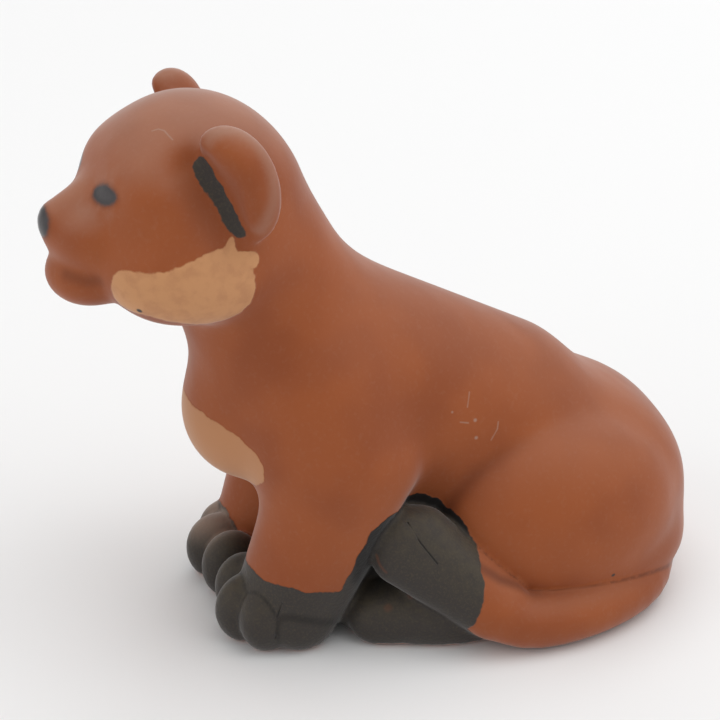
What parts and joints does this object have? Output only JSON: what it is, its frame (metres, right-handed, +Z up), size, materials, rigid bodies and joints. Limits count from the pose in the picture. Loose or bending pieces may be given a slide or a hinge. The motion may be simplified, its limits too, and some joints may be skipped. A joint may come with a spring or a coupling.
{
  "type": "lion cub figurine",
  "caption": "Small seated lion cub of fired clay with a turned head, round ears, and a tail that comes round the left haunch and ends in a tuft against the belly; it stands on its flat base",
  "frame": {"origin": "on the flat base, under the cub's midline, between its fore and hind feet", "axes": "+Z up, the cub looks along -Y, its left side and its tail are towards +X"},
  "size_m": [0.0525, 0.0962, 0.082],
  "materials": {
    "fired_clay": "matt unglazed terracotta with painted slip"
  },
  "bodies": {
    "root": {"lion_figurine": "fired_clay"}
  },
  "joints": []
}
